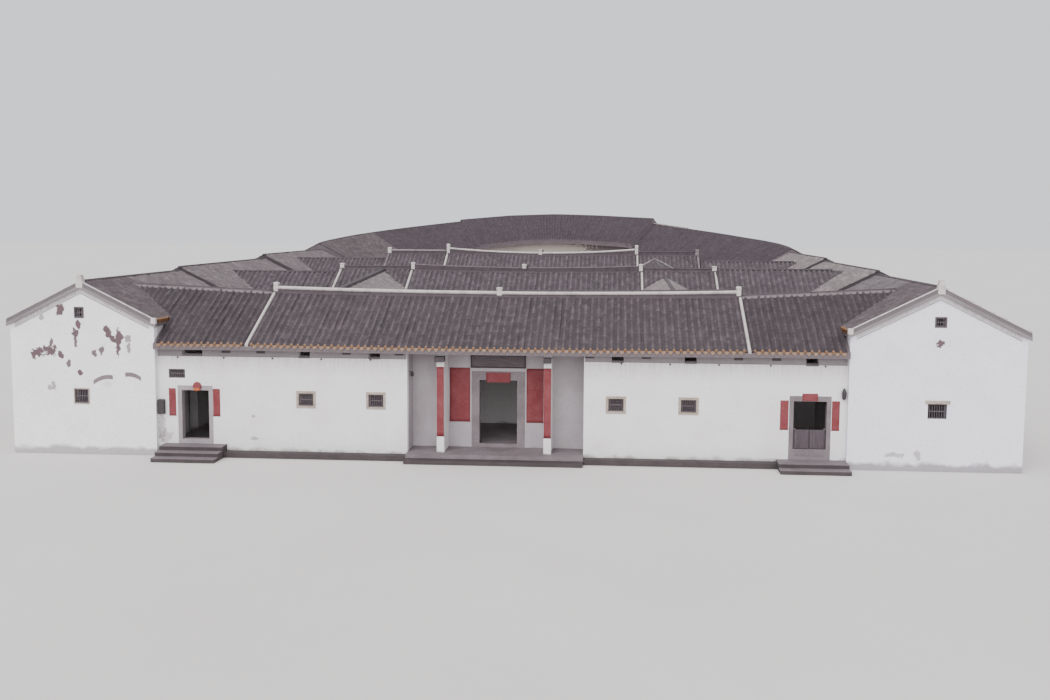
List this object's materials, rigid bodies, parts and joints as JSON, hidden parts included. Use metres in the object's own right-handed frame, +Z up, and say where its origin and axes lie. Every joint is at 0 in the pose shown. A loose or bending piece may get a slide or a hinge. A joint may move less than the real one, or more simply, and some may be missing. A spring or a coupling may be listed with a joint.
{
  "type": "scale model of a walled village (1:2)",
  "caption": "Walled clan village with a gabled front range, halls between two side rows, and a horseshoe row closing the back.",
  "frame": {"origin": "at the foot of the facade, midway between the side rows, on the underside of the entrance floor", "axes": "+Z up, +Y from the facade to the back, +X to the right as seen from in front"},
  "size_m": [20.4, 30.5215, 5.1081],
  "materials": {
    "lime_plaster": "lime-washed plaster, weathered",
    "clay_tile": "fired clay tiles, weathered",
    "granite": "dressed granite",
    "dark_timber": "old painted timber",
    "glazed_tile": "ochre glaze on eave tiles",
    "red_paper": "faded red paper strips, bare",
    "clay_brick": "fired brick trim and bars"
  },
  "bodies": {
    "village": {"front_wall_west": "lime_plaster", "front_wall_east": "lime_plaster", "front_wall_over_east_door": "lime_plaster", "front_wall_east_end": "lime_plaster", "front_range_rear_wall": "lime_plaster", "entrance_recess": "lime_plaster", "entrance_pier_west": "lime_plaster", "entrance_pier_east": "lime_plaster", "name_board": "dark_timber", "main_door_frame": "granite", "east_door_frame": "granite", "west_door_frame": "granite", "west_landing": "granite", "west_step": "granite", "west_lower_step": "granite", "east_landing": "granite", "east_step": "granite", "front_apron_west": "granite", "front_apron_east": "granite", "entrance_floor": "granite", "entrance_step": "granite", "front_range_floor": "granite", "front_roof_centre": "clay_tile", "front_roof_west": "clay_tile", "front_roof_east": "clay_tile", "west_row_gable": "lime_plaster", "west_row_inner_wall": "lime_plaster", "west_row_outer_wall": "lime_plaster", "west_row_roof_front": "clay_tile", "west_row_roof_middle": "clay_tile", "west_row_roof_rear": "clay_tile", "east_row_gable": "lime_plaster", "east_row_inner_wall": "lime_plaster", "east_row_outer_wall": "lime_plaster", "east_row_roof_front": "clay_tile", "east_row_roof_middle": "clay_tile", "east_row_roof_rear": "clay_tile", "middle_hall_front_wall": "lime_plaster", "middle_hall_rear_wall": "lime_plaster", "middle_roof_centre": "clay_tile", "middle_roof_west": "clay_tile", "middle_roof_east": "clay_tile", "rear_hall_front_wall": "lime_plaster", "rear_hall_rear_wall": "lime_plaster", "rear_roof_centre": "clay_tile", "rear_roof_west": "clay_tile", "rear_roof_east": "clay_tile", "front_gallery_west": "lime_plaster", "front_gallery_east": "lime_plaster", "rear_gallery_west": "lime_plaster", "rear_gallery_east": "lime_plaster", "horseshoe_inner_wall_west": "lime_plaster", "horseshoe_inner_wall_east": "lime_plaster", "horseshoe_outer_wall_west": "lime_plaster", "horseshoe_outer_wall_east": "lime_plaster", "horseshoe_roof_west": "clay_tile", "horseshoe_roof_centre": "clay_tile", "horseshoe_roof_east": "clay_tile"},
    "west_leaf": {"gate_leaf_west": "dark_timber"},
    "east_leaf": {"gate_leaf_east": "dark_timber"}
  },
  "joints": [
    {"name": "west_leaf_hinge", "type": "hinge", "parent": "village", "child": "west_leaf", "pos_m": [5.89, 0.06, 0.5], "axis": [0, 0, 1], "range_deg": [0, 90]},
    {"name": "east_leaf_hinge", "type": "hinge", "parent": "village", "child": "east_leaf", "pos_m": [6.48, 0.06, 0.5], "axis": [0, 0, -1], "range_deg": [0, 90]}
  ]
}
